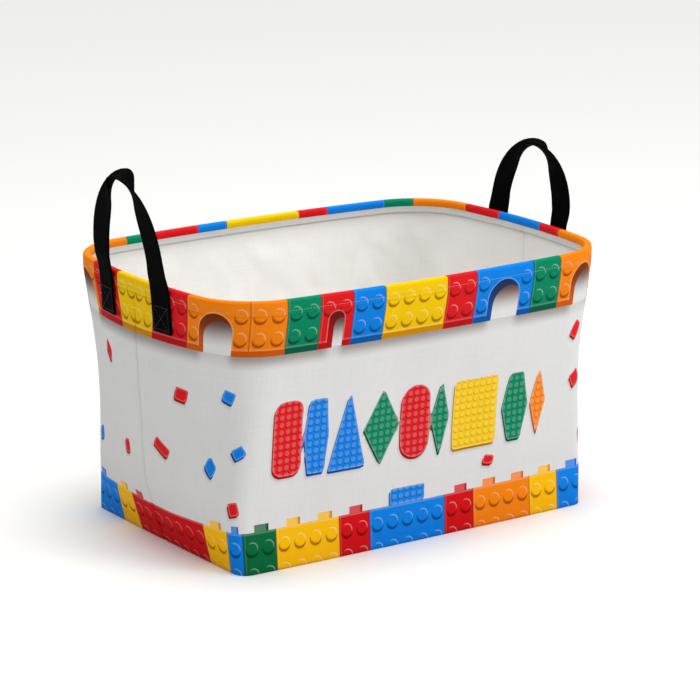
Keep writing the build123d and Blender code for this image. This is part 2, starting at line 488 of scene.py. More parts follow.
brick_inputs = [("Column", 0.0), ("Down", 0.0), ("Start", 0.0), ("End", 2.0), ("Arch", 0.0),
                ("Colour", orange), ("First Row", 10.9), ("Second Row", 30.3), ("Depth", 40.5),
                ("Underside", 5.0), ("Crest", 0.0), ("Turned Over", 0.0)]
brick_outputs = [("Colour", "NodeSocketColor"), ("Mask", "NodeSocketFloat"), ("Shade", "NodeSocketFloat")]
brick_band, given, result = make_group("brick_band", brick_inputs, brick_outputs)
column, down, start, end, radius = (given[label] for label in ("Column", "Down", "Start", "End", "Arch"))
first_row, second_row, depth = (given[label] for label in ("First Row", "Second Row", "Depth"))
from_start = (column - start) * column_width
to_end = (end - column) * column_width
from_middle = (column - (start + end) * 0.5) * column_width
stud_across = (column.math("FRACT") - 0.5) * column_width
in_second = down > (first_row + second_row) * 0.5
row = in_second * (second_row - first_row) + first_row
stud_down = down - row

# the brick's face, its underside seen below, and the round-topped opening through it
jamb_across = 5.0
jamb_down = 6.0
opening = arch_opening(from_middle, down, radius)
has_arch = radius > 1.0
open_mask = has_arch * (opening < 0.0)
jamb_opening = arch_opening(from_middle - jamb_across, down - jamb_down, radius)
full_depth = depth + given["Underside"]
in_depth = (down > given["Turned Over"] * -1.0) * (down < full_depth)
jamb = open_mask * (jamb_opening > 0.0) * in_depth
face = in_depth * (1.0 - open_mask)
under = face * (down > depth)

# pegs that stand up from the brick's top, one over each pair of studs
peg_half_width = 6.5
studs_long = end - start
peg_share = studs_long.math("MINIMUM", 2.0)
pair = (column - start) / peg_share
peg_across = (pair.math("FRACT") - 0.56) * (2 * column_width)
pair_end = (pair.math("FLOOR") + 1.0) * peg_share
peg = (abs(peg_across) < peg_half_width) * (pair_end < studs_long + 0.1) * (radius < 0.5)
peg = peg * (down > given["Crest"] * -1.0) * (down < 0.0)

# studs: a disc with a lit rim at its upper right and its dark side below
stud_radius = 5.4
stud = length_of(stud_across, stud_down) - stud_radius
stud_side = length_of(stud_across + 0.3, stud_down - 2.2) - 5.3
stud_room = arch_opening(from_middle - stud_across, row, radius) - 4.0
has_stud = face * (stud_room.math("MAXIMUM", 1.0 - radius) > 0.0)
side_mask = has_stud * (1.0 - (stud < 0.0)) * soft_step(stud_side, 0.9, -0.5)
lit_way = stud_across * 0.11 - stud_down * 0.14
rim_ring = has_stud * soft_line(stud, -0.5, 0.8)
lit_rim = rim_ring * soft_step(lit_way, 0.1, 0.8)
dim_rim = rim_ring * soft_step(lit_way, -0.2, -0.9)

joint = soft_step(from_start.math("MINIMUM", to_end), 0.9, 0.2) * (down > -6.0)
bright_edge = soft_line(from_start, 1.5, 0.9) * face
top_edge = soft_line(down, 1.0, 1.2, 0.2) * (given["Crest"] > 0.5)
lip = soft_line(depth - down, 1.0, 1.2)
arch_lip = has_arch * soft_line(opening, 0.7, 0.8)

colour = given["Colour"]
white_paint = (1, 1, 1, 1)
dark = blend_colour(brick_band, 1.0, colour, (0.34, 0.22, 0.25, 1), "MULTIPLY")
mid_dark = blend_colour(brick_band, 1.0, colour, (0.62, 0.40, 0.45, 1), "MULTIPLY")
pale = blend_colour(brick_band, 0.42, colour, white_paint)
deep = blend_colour(brick_band, 0.5, dark, (0.03, 0.012, 0.008, 1))
peg_tone = blend_colour(brick_band, 0.2, colour, pale)
peg_tone = blend_colour(brick_band, soft_step(peg_across, 3.0, 6.0), peg_tone, mid_dark)
jamb_tone = blend_colour(brick_band, soft_step(down, 16.0, 40.0), deep, mid_dark)
tone = colour
for share, shade in ((soft_step(down, 4.0, 45.0) * 0.16, dark), (side_mask * 0.9, dark),
                     (dim_rim * 0.35, dark), (lit_rim * 0.5, pale), (bright_edge * 0.1, pale),
                     (lip * 0.16, pale), (arch_lip * 0.3, pale), (top_edge * 0.25, pale),
                     (joint * 0.6, dark), (under, mid_dark), (peg, peg_tone), (jamb, jamb_tone)):
    tone = blend_colour(brick_band, share, tone, shade)
feed(brick_band, result["Colour"], tone)
feed(brick_band, result["Mask"], face.math("MAXIMUM", jamb).math("MAXIMUM", peg))

# the printed shadow that the bricks cast on the white below them and within the openings
cast = soft_step(down - full_depth, 0.0, 13.0, 0.62, 0.0) * (down > full_depth * 0.98)
below_opening = has_arch * soft_step(opening, 4.0, -6.0, 0.0, 0.7)
inner_fade = soft_step(down - jamb_down - arch_top(radius), 0.0, 24.0, 0.97, 0.0)
cast = (cast * (1.0 - below_opening)).math("MAXIMUM", open_mask * inner_fade)
feed(brick_band, result["Shade"], cast * (given["Underside"] > 0.5))

# Soft uneven threads of the cloth, both ways, in millimetres of cloth.
linen_inputs = [("Across", 0.0), ("Up", 0.0), ("Thread", 0.9), ("Slub", 0.5)]
linen_outputs = [("Tone", "NodeSocketFloat"), ("Height", "NodeSocketFloat")]
linen, given, result = make_group("linen_weave", linen_inputs, linen_outputs)


def streaks(across, along, seed):
    place = add(across.tree, "ShaderNodeCombineXYZ")
    for socket, value in zip(place.inputs, (across * 0.85, along * 0.035, seed)):
        feed(across.tree, socket, value)
    return grain(across.tree, 1.0, 3, place.outputs[0])


slubs = streaks(given["Across"], given["Up"], 1.0) + streaks(given["Up"], given["Across"], 5.0) - 1.0
turns = [(given[way] * (2 * pi) / given["Thread"]).math("SINE") for way in ("Across", "Up")]
feed(linen, result["Tone"], slubs * given["Slub"])
feed(linen, result["Height"], turns[0] * turns[1] * 0.3 + slubs * 1.2)


def cloth_place(tree):
    """Millimetres across and up the cloth from the piece's own UV map."""
    across, up, _ = split_xyz(tree, add(tree, "ShaderNodeUVMap", uv_map="OFBake").outputs[0])
    return (across - 0.5) * cloth_span, up * cloth_span


def dye(tree, shader, ground, fibre):
    """Lays a ground colour on cloth, with its threads a little lighter and darker."""
    grey = add(tree, "ShaderNodeCombineColor")
    tone = calc(tree, "ADD", 1.0, fibre["Tone"])
    for socket in grey.inputs:
        feed(tree, socket, tone)
    feed(tree, shader.inputs["Base Color"], blend_colour(tree, 1.0, ground, grey.outputs[0], "MULTIPLY"))


def block_ramp(tree, place, blocks, values):
    ramp = add(tree, "ShaderNodeValToRGB")
    ramp.color_ramp.interpolation = "CONSTANT"
    stops = ramp.color_ramp.elements
    stops.remove(stops[1])
    for number, ((start, _, _, _), value) in enumerate(zip(blocks, values)):
        spot = max((start - first_column) / column_count, 0.0)
        stop = stops[0] if number == 0 else stops.new(spot)
        stop.position = spot
        stop.color = value
    feed(tree, ramp.inputs[0], place)
    return ramp.outputs[0]


def brick_border(tree, across, down, blocks, **sizes):
    """Bricks along the cloth. A block's ends and arch are packed into a second ramp's channels."""
    largest_arch = 32
    column = (across - column_start) / column_width
    place = (column.math("FLOOR") + (0.5 - first_column)) / column_count
    colour = block_ramp(tree, place, blocks, [b[2] for b in blocks])
    spans = [((first - first_column) / column_count, (last - first_column) / column_count,
              arch / largest_arch, 1) for first, last, _, arch in blocks]
    split = add(tree, "ShaderNodeSeparateColor")
    feed(tree, split.inputs[0], block_ramp(tree, place, blocks, spans))
    first, last, arch = (Number(tree, socket) for socket in split.outputs)
    start, end = (share * column_count + first_column for share in (first, last))
    return use_group(tree, brick_band, column=column, down=down, start=start, end=end,
                     arch=arch * largest_arch, colour=colour, **sizes)


def block_row(first, *bricks):
    """Bricks in a row as (start column, end column, colour, arch radius)."""
    row = []
    for studs, colour, arch in bricks:
        row.append((first, first + studs, colour, arch))
        first += studs
    return row


knob_pitch = 6.2
foot_band = 34.5            # height of the border of bricks along the foot


def motif(tree, name, output):
    return add(tree, "ShaderNodeAttribute", attribute_name=name).outputs[output]


def printed_canvas(name, rim_row, foot_row):
    """White canvas with the brick borders, the loose bricks and blocks, and its own weave."""
    material, tree, shader = new_material(name)
    across, height = cloth_place(tree)
    fibre = use_group(tree, linen, across=across, up=height, thread=0.9, slub=0.10)
    white = blend_colour(tree, grain(tree, 9), ink(222, 222, 222), ink(213, 213, 213))
    rim = brick_border(tree, across, bin_height - height, rim_row, depth=40.5, underside=5.0, first_row=10.9,
                       second_row=30.3, crest=0.0, turned_over=11.5)
    foot = brick_border(tree, across, foot_band - height, foot_row, depth=60.0, underside=0.0, first_row=13.0,
                        second_row=34.5, crest=6.0, turned_over=0.0)

    # loose bricks and blocks: distances to the nearest one are kept on the cloth's points
    reach, side_reach, shade_reach = split_xyz(tree, motif(tree, "motif_reach", "Vector"))
    spot_x, spot_y, has_knobs = split_xyz(tree, motif(tree, "motif_spot", "Vector"))
    paint = motif(tree, "motif_colour", "Color")
    knob_x, knob_y = ((spot.math("FRACT") - 0.5) * knob_pitch for spot in (spot_x, spot_y))
    knob = soft_step(length_of(knob_x, knob_y), 2.5, 1.9)
    knob_low = soft_step(length_of(knob_x + 0.5, knob_y + 1.0), 2.8, 2.0)
    shape_dark = blend_colour(tree, 1.0, paint, (0.42, 0.30, 0.34, 1), "MULTIPLY")
    shape_tone = blend_colour(tree, (1.0 - knob) * knob_low * has_knobs * 0.42, paint, shape_dark)
    shape_tone = blend_colour(tree, knob * has_knobs * 0.07, shape_tone, white_paint)
    shape_tone = blend_colour(tree, soft_line(reach, -0.7, 0.9) * 0.1, shape_tone, white_paint)

    shape_shade = soft_step(shade_reach, 2.0, -3.0, 0.0, 0.35)
    ground = white
    for share, colour in ((shape_shade.math("MAXIMUM", rim["Shade"]), ink(92, 60, 48)),
                          (side_reach < 0.0, shape_dark), (reach < 0.0, shape_tone),
                          (foot["Mask"], foot["Colour"]), (rim["Mask"], rim["Colour"]),
                          (height > inside_map_row * cloth_span - 3, white)):
        ground = blend_colour(tree, share, ground, colour)
    dye(tree, shader, ground, fibre)
    shader.inputs["Roughness"].default_value = 0.7
    shader.inputs["Specular IOR Level"].default_value = 0.06
    relief(tree, shader, fibre["Height"], 0.35, 0.0003)
    return material


# A row of bricks round each half at the rim, and another at the foot.
front_rim_row = block_row(-22, (3, yellow, 0), (3, red, 0), (4, orange, wide_arch), (2, orange, 0),
                          (2, green, 0),
                          (2, red, small_arch), (2, blue, 0), (4, yellow, 0), (2, red, 0),
                          (4, blue, wide_arch),
                          (2, green, 0), (4, orange, wide_arch), (4, orange, 0), (2, red, 0), (4, blue, 0))
front_foot_row = block_row(-24, (4, deep_red, 0), (5, deep_red, 0.75), (2, deep_yellow, 0), (1, blue, 0),
                           (2, pine, 0),
                           (4, deep_yellow, 0), (2, deep_red, 0), (5, blue, 0.75), (2, deep_red, 0),
                           (4, orange, 0), (2, deep_yellow, 0), (2, blue, 0), (3, deep_red, 0),
                           (4, pine, 0), (6, deep_yellow, 0))
back_rim_row = block_row(-22, (3, blue, 0), (3, red, 0), (4, orange, wide_arch), (2, green, 0), (4, blue, 0),
                         (2, red, 0), (5, yellow, 0), (2, blue, 0), (3, red, 0), (2, green, 0),
                         (4, orange, wide_arch), (3, orange, wide_arch), (3, red, 0), (4, yellow, 0))
back_foot_row = block_row(-24, (6, blue, 0), (4, deep_red, 0), (2, deep_yellow, 0), (4, pine, 0),
                          (4, orange, 0),
                          (2, deep_red, 0), (5, blue, 0.75), (2, deep_yellow, 0), (4, deep_red, 0),
                          (2, pine, 0),
                          (3, blue, 0), (2, deep_yellow, 0), (8, deep_red, 0))

# Loose printed bricks: place across and up, width, height, turn in degrees, taper, pinch.
loose_bricks = {
    "front": [
        (-232.9, 141.6, 14, 11, -8, 0, 0, red), (-257.9, 91.2, 21, 9, -28, 0, 0, red),
        (-183.4, 147.8, 11, 10, -18, 0, 0, blue), (-200.8, 85.4, 13, 18, 4, 0, 0.85, blue),
        (-172.8, 101.6, 11, 9, 32, 0, 0, blue), (-177.4, 54.3, 9, 11, 14, 0, 0, red),
        (159.1, 158.6, 12, 15, -32, 0, 0.2, red), (163.7, 114.0, 13, 12, 28, 0, 0, red),
        (177.2, 62.0, 12, 12, 30, 0.5, 0, red), (70.5, 57.3, 11, 8, -12, 0, 0, red),
    ],
    "back": [
        (239.0, 155.0, 12, 18, 8, 0, 0.7, red), (194.0, 73.4, 12, 11, 20, 0, 0, blue),
        (262.0, 79.5, 9, 12, 6, 0, 0, red), (170.0, 140.0, 12, 10, -24, 0, 0, blue),
        (-232.0, 138.0, 14, 10, 24, 0, 0, red), (-206.0, 84.0, 12, 17, -6, 0, 0.8, blue),
        (-170.0, 150.0, 12, 10, -15, 0, 0, red), (-262.0, 88.0, 19, 9, 26, 0, 0, red),
        (-176.0, 56.0, 10, 11, -14, 0, 0, red), (60.0, 56.0, 11, 8, 12, 0, 0, blue),
    ],
}
# Large plain blocks in a row across the middle: centre, foot, width, height, rounding, taper, pinch.
large_blocks = [
    (-130, 77, 27, 64, 9, 0, 0, red), (-102.5, 75, 23, 64, 1.5, 0, 0.3, blue),
    (-73, 74, 36, 64, 0.8, 0.94, 0, blue), (-40, 73, 36, 64, 0.8, 0, 0.97, green),
    (-7, 73, 28, 63, 13.9, 0, 0, red), (18, 72, 19, 62, 0.8, 0, 0.9, green),
    (54, 72, 45, 60, 3, 0, 0, yellow), (96.5, 71, 28, 59, 0.8, 0, 0.5, green),
    (121.5, 71, 17, 59, 0.8, 0, 0.96, orange),
]
plinth_block = (-13, foot_band, 34, 14, 1.0, 0, 0, blue)


def reach_to(across, height, shape, shift):
    """Distance to one printed shape's edge, and the place inside it."""
    middle_x, middle_z, width, tall, turn, rounding, taper, pinch = shape
    dx = across - middle_x - shift[0]
    dz = height - middle_z - shift[1]
    c, s = cos(radians(turn)), sin(radians(turn))
    x, z = dx * c + dz * s, dz * c - dx * s
    half_tall = tall / 2
    half_wide = width / 2 * (1 - taper * (z / half_tall + 1) / 2 - pinch * np.abs(z) / half_tall)
    past_x = np.abs(x) - (half_wide - rounding)
    past_z = np.abs(z) - (half_tall - rounding)
    outside = np.hypot(np.maximum(past_x, 0), np.maximum(past_z, 0))
    return outside + np.minimum(np.maximum(past_x, past_z), 0) - rounding, x, z


def print_shapes(piece, place, upright, half):
    """Stores, on every point of the cloth, how far it is from the nearest printed shape."""
    shapes = [((x, z, w, h, turn, 0.8, taper, pinch), colour, 0.0)
              for x, z, w, h, turn, taper, pinch, colour in loose_bricks[half]]
    shapes += [((x, z + h / 2, w, h, 0, rounding, taper, pinch), colour, 1.0)
               for x, z, w, h, rounding, taper, pinch, colour in large_blocks + [plinth_block]]
    count = len(piece.data.vertices)
    reach = np.full((count, 3), 9.0)
    spot = np.zeros((count, 3))
    tint = np.ones((count, 4))
    across, height = place.ravel(), upright.ravel()
    printed = len(across)
    nearest = np.full(printed, 1e9)
    for shape, colour, knobs in shapes:
        distances = [reach_to(across, height, shape, (0.8 * shift, 1.5 * shift))
                     for shift in (0.0, -1.2, -2.4)]
        closest = np.minimum(distances[0][0], distances[1][0])
        chosen = np.flatnonzero(closest < nearest)
        nearest[chosen] = closest[chosen]
        for k in range(3):
            reach[chosen, k] = distances[k][0][chosen]
        for k in (0, 1):
            spot[chosen, k] = distances[0][k + 1][chosen] / knob_pitch + 40.5
        spot[chosen, 2] = knobs
        tint[chosen] = colour
    mesh = piece.data
    mesh.attributes.new("motif_reach", "FLOAT_VECTOR", "POINT").data.foreach_set("vector", reach.ravel())
    mesh.attributes.new("motif_spot", "FLOAT_VECTOR", "POINT").data.foreach_set("vector", spot.ravel())
    mesh.attributes.new("motif_colour", "FLOAT_COLOR", "POINT").data.foreach_set("color", tint.ravel())


canvas_prints = {
    "front": printed_canvas("front_print", front_rim_row, front_foot_row),
    "back": printed_canvas("back_print", back_rim_row, back_foot_row),
}
seam_groove = 1.0

for half in ("front", "back"):
    panel, place, upright = wall_piece(f"{half}_wall", half == "back", 0.0, 0.0, canvas, seam_groove,
                                       lambda across, height: 0.0)
    print_shapes(panel, place, upright, half)
    panel.data.materials.append(canvas_prints[half])
    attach(panel, "base")
    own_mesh(panel)
    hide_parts(f"{half}_panel")

# ---- wall linings ----
# Two halves of thin white cotton hang inside the printed walls, seamed at the same two ends
# and caught in the hem at the top. They are a little fuller than the walls, so they crease.
lining_offset = 2.0
lining_thickness = 0.8
lining_bottom = 4.4


def cotton(name, pale, dark):
    """Fine white cotton with uneven threads, on cloth lengths."""
    material, tree, shader = new_material(name)
    across, height = cloth_place(tree)
    fibre = use_group(tree, linen, across=across, up=height, thread=0.7, slub=0.09)
    dye(tree, shader, blend_colour(tree, grain(tree, 7, 3), pale, dark), fibre)
    shader.inputs["Roughness"].default_value = 0.8
    shader.inputs["Specular IOR Level"].default_value = 0.25
    shader.inputs["Sheen Weight"].default_value = 0.1
    relief(tree, shader, fibre["Height"], 0.3, 0.0003)
    return material


lining_cotton = cotton("lining_cotton", ink(240, 239, 236), ink(230, 228, 224))


def lining_creases(across, height):
    """Inwards only: broad sags and sharper diagonal creases below the hem."""
    sag = np.array([
        abs(noise.noise(Vector((a / 40 + h / 90, h / 75, 31)))) * 2.4
        + max(noise.noise(Vector((a / 24 - h / 60, h / 52, 47))), 0) * 2.6
        for a, h in zip(across.ravel(), height.ravel())
    ]).reshape(across.shape)
    return -sag * rise_and_fall(height, 6, 30, 190, 212)


for half in ("front", "back"):
    inner, place, upright = wall_piece(f"{half}_wall_lining", half == "back", lining_bottom, lining_offset,
                                       lining_thickness, 0.0, lining_creases)
    inner.data.materials.append(lining_cotton)
    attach(inner, "base")
    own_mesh(inner)
    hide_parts(f"{half}_lining")

# ---- base cloths ----
# A white canvas panel closes the foot from outside, and a white cotton one covers the board
# inside. Both are sewn in round their edges, and the cotton one puffs slightly between.
foot_level = half_levels[0.0]
base_rings = 26


def base_cloth(name, inset, bottom, thickness, puff, sink):
    """Flat cloth filling the foot inside an inset, on rings from its middle to its edge."""
    plan = half_outline(foot_level, -inset)
    loop = np.concatenate((plan[:-1], -plan[:-1]))
    shares = np.linspace(0, 1, base_rings + 1)[1:] ** 0.8
    top = [(0.0, 0.0, bottom + thickness + puff)]
    under = [(0.0, 0.0, bottom)]
    for share in shares:
        for x, y in loop * share:
            soft = noise.noise(Vector((x / 60, y / 50, 3))) * 0.5 + 0.5
            lift = puff * (1 - share**6) * soft
            top.append((x, y, bottom + thickness + lift))
            under.append((x, y, bottom + sink * lift))
    count = len(top)
    size = len(loop)
    faces = []
    for start, way in ((0, 1), (count, -1)):
        for k in range(size):
            after = (k + 1) % size
            faces.append((start, start + 1 + k, start + 1 + after)[::way])
            for ring in range(base_rings - 1):
                low = start + 1 + ring * size
                faces.append((low + k, low + size + k, low + size + after, low + after)[::way])
    edge = 1 + (base_rings - 1) * size
    for k in range(size):
        after = (k + 1) % size
        faces.append((edge + k, count + edge + k, count + edge + after, edge + after))
    piece = plain_mesh(name, top + under, faces)
    uv = piece.data.uv_layers.new(name="OFBake")
    for polygon in piece.data.polygons:
        lower = all(v >= count for v in polygon.vertices)
        for corner in polygon.loop_indices:
            spot = piece.data.vertices[piece.data.loops[corner].vertex_index].co / MM
            rise = 0.70 if lower else 0.25
            uv.data[corner].uv = (0.5 + spot.x / cloth_span, rise + spot.y / cloth_span)
    return piece


base_canvas_finish = cotton("base_canvas", ink(228, 226, 222), ink(214, 212, 207))
base_canvas = base_cloth("base_canvas", 1.4, 0.0, canvas, 0.0, 0.0)
base_canvas.data.materials.append(base_canvas_finish)
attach(base_canvas, "base")
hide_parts("base_panel")

board_cover = base_cloth("board_cover", 3.2, 4.6, lining_thickness, 1.6, 1.0)
board_cover.data.materials.append(lining_cotton)
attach(board_cover, "base")
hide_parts("base_lining")

# ---- seam bindings ----
# A folded cotton tape covers the raw edges of each end seam, between canvas and lining.
binding_half_width = 6.0
binding_levels = np.linspace(lining_bottom, 215.4, 60)
binding_faces = (1.35, 1.85)     # how far in from the wall's outside
binding_columns = 7
binding_finish = fibres("binding_cotton", ink(222, 219, 210), ink(196, 192, 182), 900, 0.9, 0.4)
for name, turned in (("left", False), ("right", True)):
    shares = np.linspace(-1, 1, binding_columns) * binding_half_width
    grids = []
    for offset in binding_faces:
        rows = []
        for line, height in zip(wall_rows(binding_levels, -offset), binding_levels):
            run = np.concatenate(([0], np.cumsum(np.linalg.norm(np.diff(line, axis=0), axis=1))))
            x = np.interp(np.abs(shares), run, line[:, 0])
            y = np.interp(np.abs(shares), run, line[:, 1]) * np.sign(shares)
            give = seam_slack([height], 1 if turned else -1)[0]
            rows.append(np.stack((x - give, -y, np.full(binding_columns, height)), -1))
        grids.append(np.array(rows)[:, ::-1])
    grids = [grid * (-1, -1, 1) if turned else grid for grid in grids]
    spread = np.stack(np.meshgrid(shares, binding_levels), -1) / cloth_span
    tape = cloth_piece(f"{name}_seam_tape", grids[0], grids[1], spread + (0.2, 0), spread + (0.4, 0))
    tape.data.materials.append(binding_finish)
    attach(tape, "base")
    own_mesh(tape)
    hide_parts(f"{name}_seam_binding")

# ---- rim hoop ----
# One length of 3 mm spring steel wire runs inside the hem, and a crimped steel sleeve joins
# its ends at the middle of the back.


def drawn_metal(name, pale, dark, roughness):
    material, tree, shader = new_material(name)
    scuff = grain(tree, 400, 5)
    feed(tree, shader.inputs["Base Color"], blend_colour(tree, scuff, pale, dark))
    feed(tree, shader.inputs["Roughness"], soft_step(scuff, 0.3, 0.7, roughness, roughness + 0.2))
    shader.inputs["Metallic"].default_value = 1.0
    relief(tree, shader, scuff, 0.1, 0.0002)
    return material


repaint("rim_wire", drawn_metal("spring_steel", ink(178, 180, 184), ink(120, 122, 128), 0.28))
repaint("rim_ferrule", drawn_metal("crimped_steel", ink(196, 198, 202), ink(150, 152, 156), 0.35))

# ---- rim hem ----
# The walls' canvas is turned in over the hoop and sewn down through all the layers, so its
# printed border shows inside the mouth as well. The hem is round over the wire and flat below.
hem_bottom = 216.0
hem_depth = 6.9
wire_height = 224.55
roll = hem_depth / 2


def hem_profile():
    """Closed section as (depth inwards from the outside, height), starting at the outside foot."""
    points = [(0.05, hem_bottom), (0.0, 216.8), (0.03, 218.2), (0.25, 219.2), (0.05, 220.3), (0.0, 222.0)]
    for step in range(13):
        turn = pi * step / 12
        square_off = cos(turn) / max(abs(cos(turn)), 1e-6) * abs(cos(turn)) ** 0.62
        points.append((roll - roll * square_off, wire_height + roll * sin(turn) ** 0.72))
    points += [(6.6, 222.6), (5.6, 220.8), (4.9, 219.2), (5.2, 217.9), (5.3, 216.9), (5.1, hem_bottom)]
    return np.array(points)


def closed_tube(name, sections, across, along):
    """Closed section carried through stations, capped at both ends. along has one more value."""
    stations, size = sections.shape[:2]
    faces = []
    corners = []
    for i in range(stations - 1):
        for j in range(size):
            k = (j + 1) % size
            faces.append((i * size + j, i * size + k, (i + 1) * size + k, (i + 1) * size + j))
            corners += [(across[i], along[j]), (across[i], along[j + 1]),
                        (across[i + 1], along[j + 1]), (across[i + 1], along[j])]
    last = (stations - 1) * size
    faces.append(tuple(range(size))[::-1])
    faces.append(tuple(range(last, last + size)))
    corners += [(across[0], along[j]) for j in reversed(range(size))]
    corners += [(across[-1], along[j]) for j in range(size)]
    piece = plain_mesh(name, sections.reshape(-1, 3), faces)
    piece.data.uv_layers.new(name="OFBake").data.foreach_set("uv", np.array(corners).ravel())
    for polygon in piece.data.polygons[-2:]:
        polygon.use_smooth = False
    shell = bmesh.new()
    shell.from_mesh(piece.data)
    bmesh.ops.recalc_face_normals(shell, faces=shell.faces)
    shell.to_mesh(piece.data)
    shell.free()
    return piece


profile = hem_profile()
profile_steps = np.linalg.norm(np.diff(profile, axis=0), axis=1)
profile_run = hem_bottom + np.concatenate(([0], np.cumsum(profile_steps), [profile_steps.sum() + 5]))
rim_line = wall_rows([wall_top], 0.0)
rim_place, rim_outward = along_cloth(rim_line)
rim_line, rim_place, rim_outward = rim_line[0], rim_place[0], rim_outward[0]
no_motif_reach = 9.0     # the hem carries no loose prints
for half, turned in (("front", False), ("back", True)):
    sections = np.zeros((len(rim_line), len(profile), 3))
    for station, (spot, out) in enumerate(zip(rim_line, rim_outward)):
        wander = noise.noise(Vector((rim_place[station] / 30, 9 + turned, 0))) * 0.35
        soft = np.clip((profile[:, 0] - 3.0) / 3.0, 0, 1) * wander
        sections[station, :, :2] = spot - out * (profile[:, :1] + soft[:, None])
        sections[station, :, 2] = profile[:, 1]
    if turned:
        sections = sections * (-1, -1, 1)
    hem = closed_tube(f"{half}_hem", sections, 0.5 + rim_place / cloth_span, profile_run / cloth_span)
    hem.data.materials.append(canvas_prints[half])
    reaches = hem.data.attributes.new("motif_reach", "FLOAT_VECTOR", "POINT").data
    reaches.foreach_set("vector", [no_motif_reach] * 3 * len(hem.data.vertices))
    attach(hem, "rim")
    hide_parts(f"{half}_rim_hem")

# ---- hem stitching ----
# A row of white polyester lockstitches runs all round, 9 mm below the top of the rim.


def stitch_tree():
    """Geometry Nodes: rounded stitches laid end to end along the edges of a mesh line."""
    tree = bpy.data.node_groups.new("stitch_row", "GeometryNodeTree")
    tree.interface.new_socket("Line", in_out="INPUT", socket_type="NodeSocketGeometry")
    for label, value in (("Pitch", 0.004), ("Length", 0.003), ("Thread", 0.0005)):
        tree.interface.new_socket(label, in_out="INPUT", socket_type="NodeSocketFloat").default_value = value
    tree.interface.new_socket("Finish", in_out="INPUT", socket_type="NodeSocketMaterial")
    tree.interface.new_socket("Stitches", in_out="OUTPUT", socket_type="NodeSocketGeometry")
    start = add(tree, "NodeGroupInput")
    end = add(tree, "NodeGroupOutput")
    line = add(tree, "GeometryNodeMeshToCurve")
    spots = add(tree, "GeometryNodeCurveToPoints", mode="LENGTH")
    stitch = add(tree, "GeometryNodeMeshUVSphere")
    stitch.inputs["Segments"].default_value = 6
    stitch.inputs["Rings"].default_value = 5
    stitch.inputs["Radius"].default_value = 0.5
    size = add(tree, "ShaderNodeCombineXYZ")
    placed = add(tree, "GeometryNodeInstanceOnPoints")
    whole = add(tree, "GeometryNodeRealizeInstances")
    coat = add(tree, "GeometryNodeSetMaterial")
    tree.links.new(start.outputs["Line"], line.inputs["Mesh"])
    tree.links.new(line.outputs["Curve"], spots.inputs["Curve"])
    tree.links.new(start.outputs["Pitch"], spots.inputs["Length"])
    for socket, label in zip(size.inputs, ("Thread", "Thread", "Length")):
        tree.links.new(start.outputs[label], socket)
    tree.links.new(spots.outputs["Points"], placed.inputs["Points"])
    tree.links.new(stitch.outputs["Mesh"], placed.inputs["Instance"])
    tree.links.new(spots.outputs["Rotation"], placed.inputs["Rotation"])
    tree.links.new(size.outputs[0], placed.inputs["Scale"])
    tree.links.new(placed.outputs["Instances"], whole.inputs["Geometry"])
    tree.links.new(whole.outputs["Geometry"], coat.inputs["Geometry"])
    tree.links.new(start.outputs["Finish"], coat.inputs["Material"])
    tree.links.new(coat.outputs["Geometry"], end.inputs["Stitches"])
    return tree


stitch_row = stitch_tree()


def sewn(name, lines, finish, pitch, length, thread, body, node):
    """Stitches along point lines in millimetres, as one plain mesh."""
    mesh = bpy.data.meshes.new(name + "_line")
    points = [tuple(p * MM for p in point) for line in lines for point in line]
    edges = []
    start = 0
    for line in lines:
        edges += [(start + k, start + k + 1) for k in range(len(line) - 1)]
        start += len(line)
    mesh.from_pydata(points, edges, [])
    guide = bpy.data.objects.new(name + "_line", mesh)
    bpy.context.scene.collection.objects.link(guide)
    row = guide.modifiers.new("stitches", "NODES")
    row.node_group = stitch_row
    values = {"Pitch": pitch * MM, "Length": length * MM, "Thread": thread * MM, "Finish": finish}
    for item in stitch_row.interface.items_tree:
        if item.in_out == "INPUT" and item.name in values:
            row[item.identifier] = values[item.name]
    bpy.context.view_layer.update()
    evaluated = guide.evaluated_get(bpy.context.evaluated_depsgraph_get())
    stitches = bpy.data.objects.new(name, bpy.data.meshes.new_from_object(evaluated))
    bpy.context.scene.collection.objects.link(stitches)
    bpy.data.objects.remove(guide)
    stitches.data.shade_smooth()
    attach(stitches, body)
    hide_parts(node)
    return stitches


def spun_thread(name, colour, shade):
    """Twisted polyester thread: fine slanting plies, with painted shade in the grooves between them."""
    material, tree, shader = new_material(name)
    place = add(tree, "ShaderNodeTexCoord").outputs["Object"]
    ply = add(tree, "ShaderNodeTexWave", wave_type="BANDS", bands_direction="DIAGONAL")
    ply.inputs["Scale"].default_value = 1400
    ply.inputs["Distortion"].default_value = 1
    feed(tree, ply.inputs["Vector"], place)
    # painted shade: the grooves between the plies take the darker shade colour
    feed(tree, shader.inputs["Base Color"], blend_colour(tree, ply.outputs["Fac"], shade, colour))
    shader.inputs["Roughness"].default_value = 0.55
    shader.inputs["Sheen Weight"].default_value = 0.15
    relief(tree, shader, ply.outputs["Fac"], 0.3, 0.0001)
    return material


white_thread = spun_thread("white_thread", ink(190, 186, 178), ink(146, 142, 134))
stitch_height = 219.2
stitch_line = rim_line - rim_outward * 0.16
outer_row = [(x, y, stitch_height) for x, y in stitch_line]
outer_row += [(-x, -y, stitch_height) for x, y in stitch_line[1:]]
sewn("hem_stitches", [outer_row], white_thread, 2.6, 1.9, 0.3, "rim", "hem_stitching")

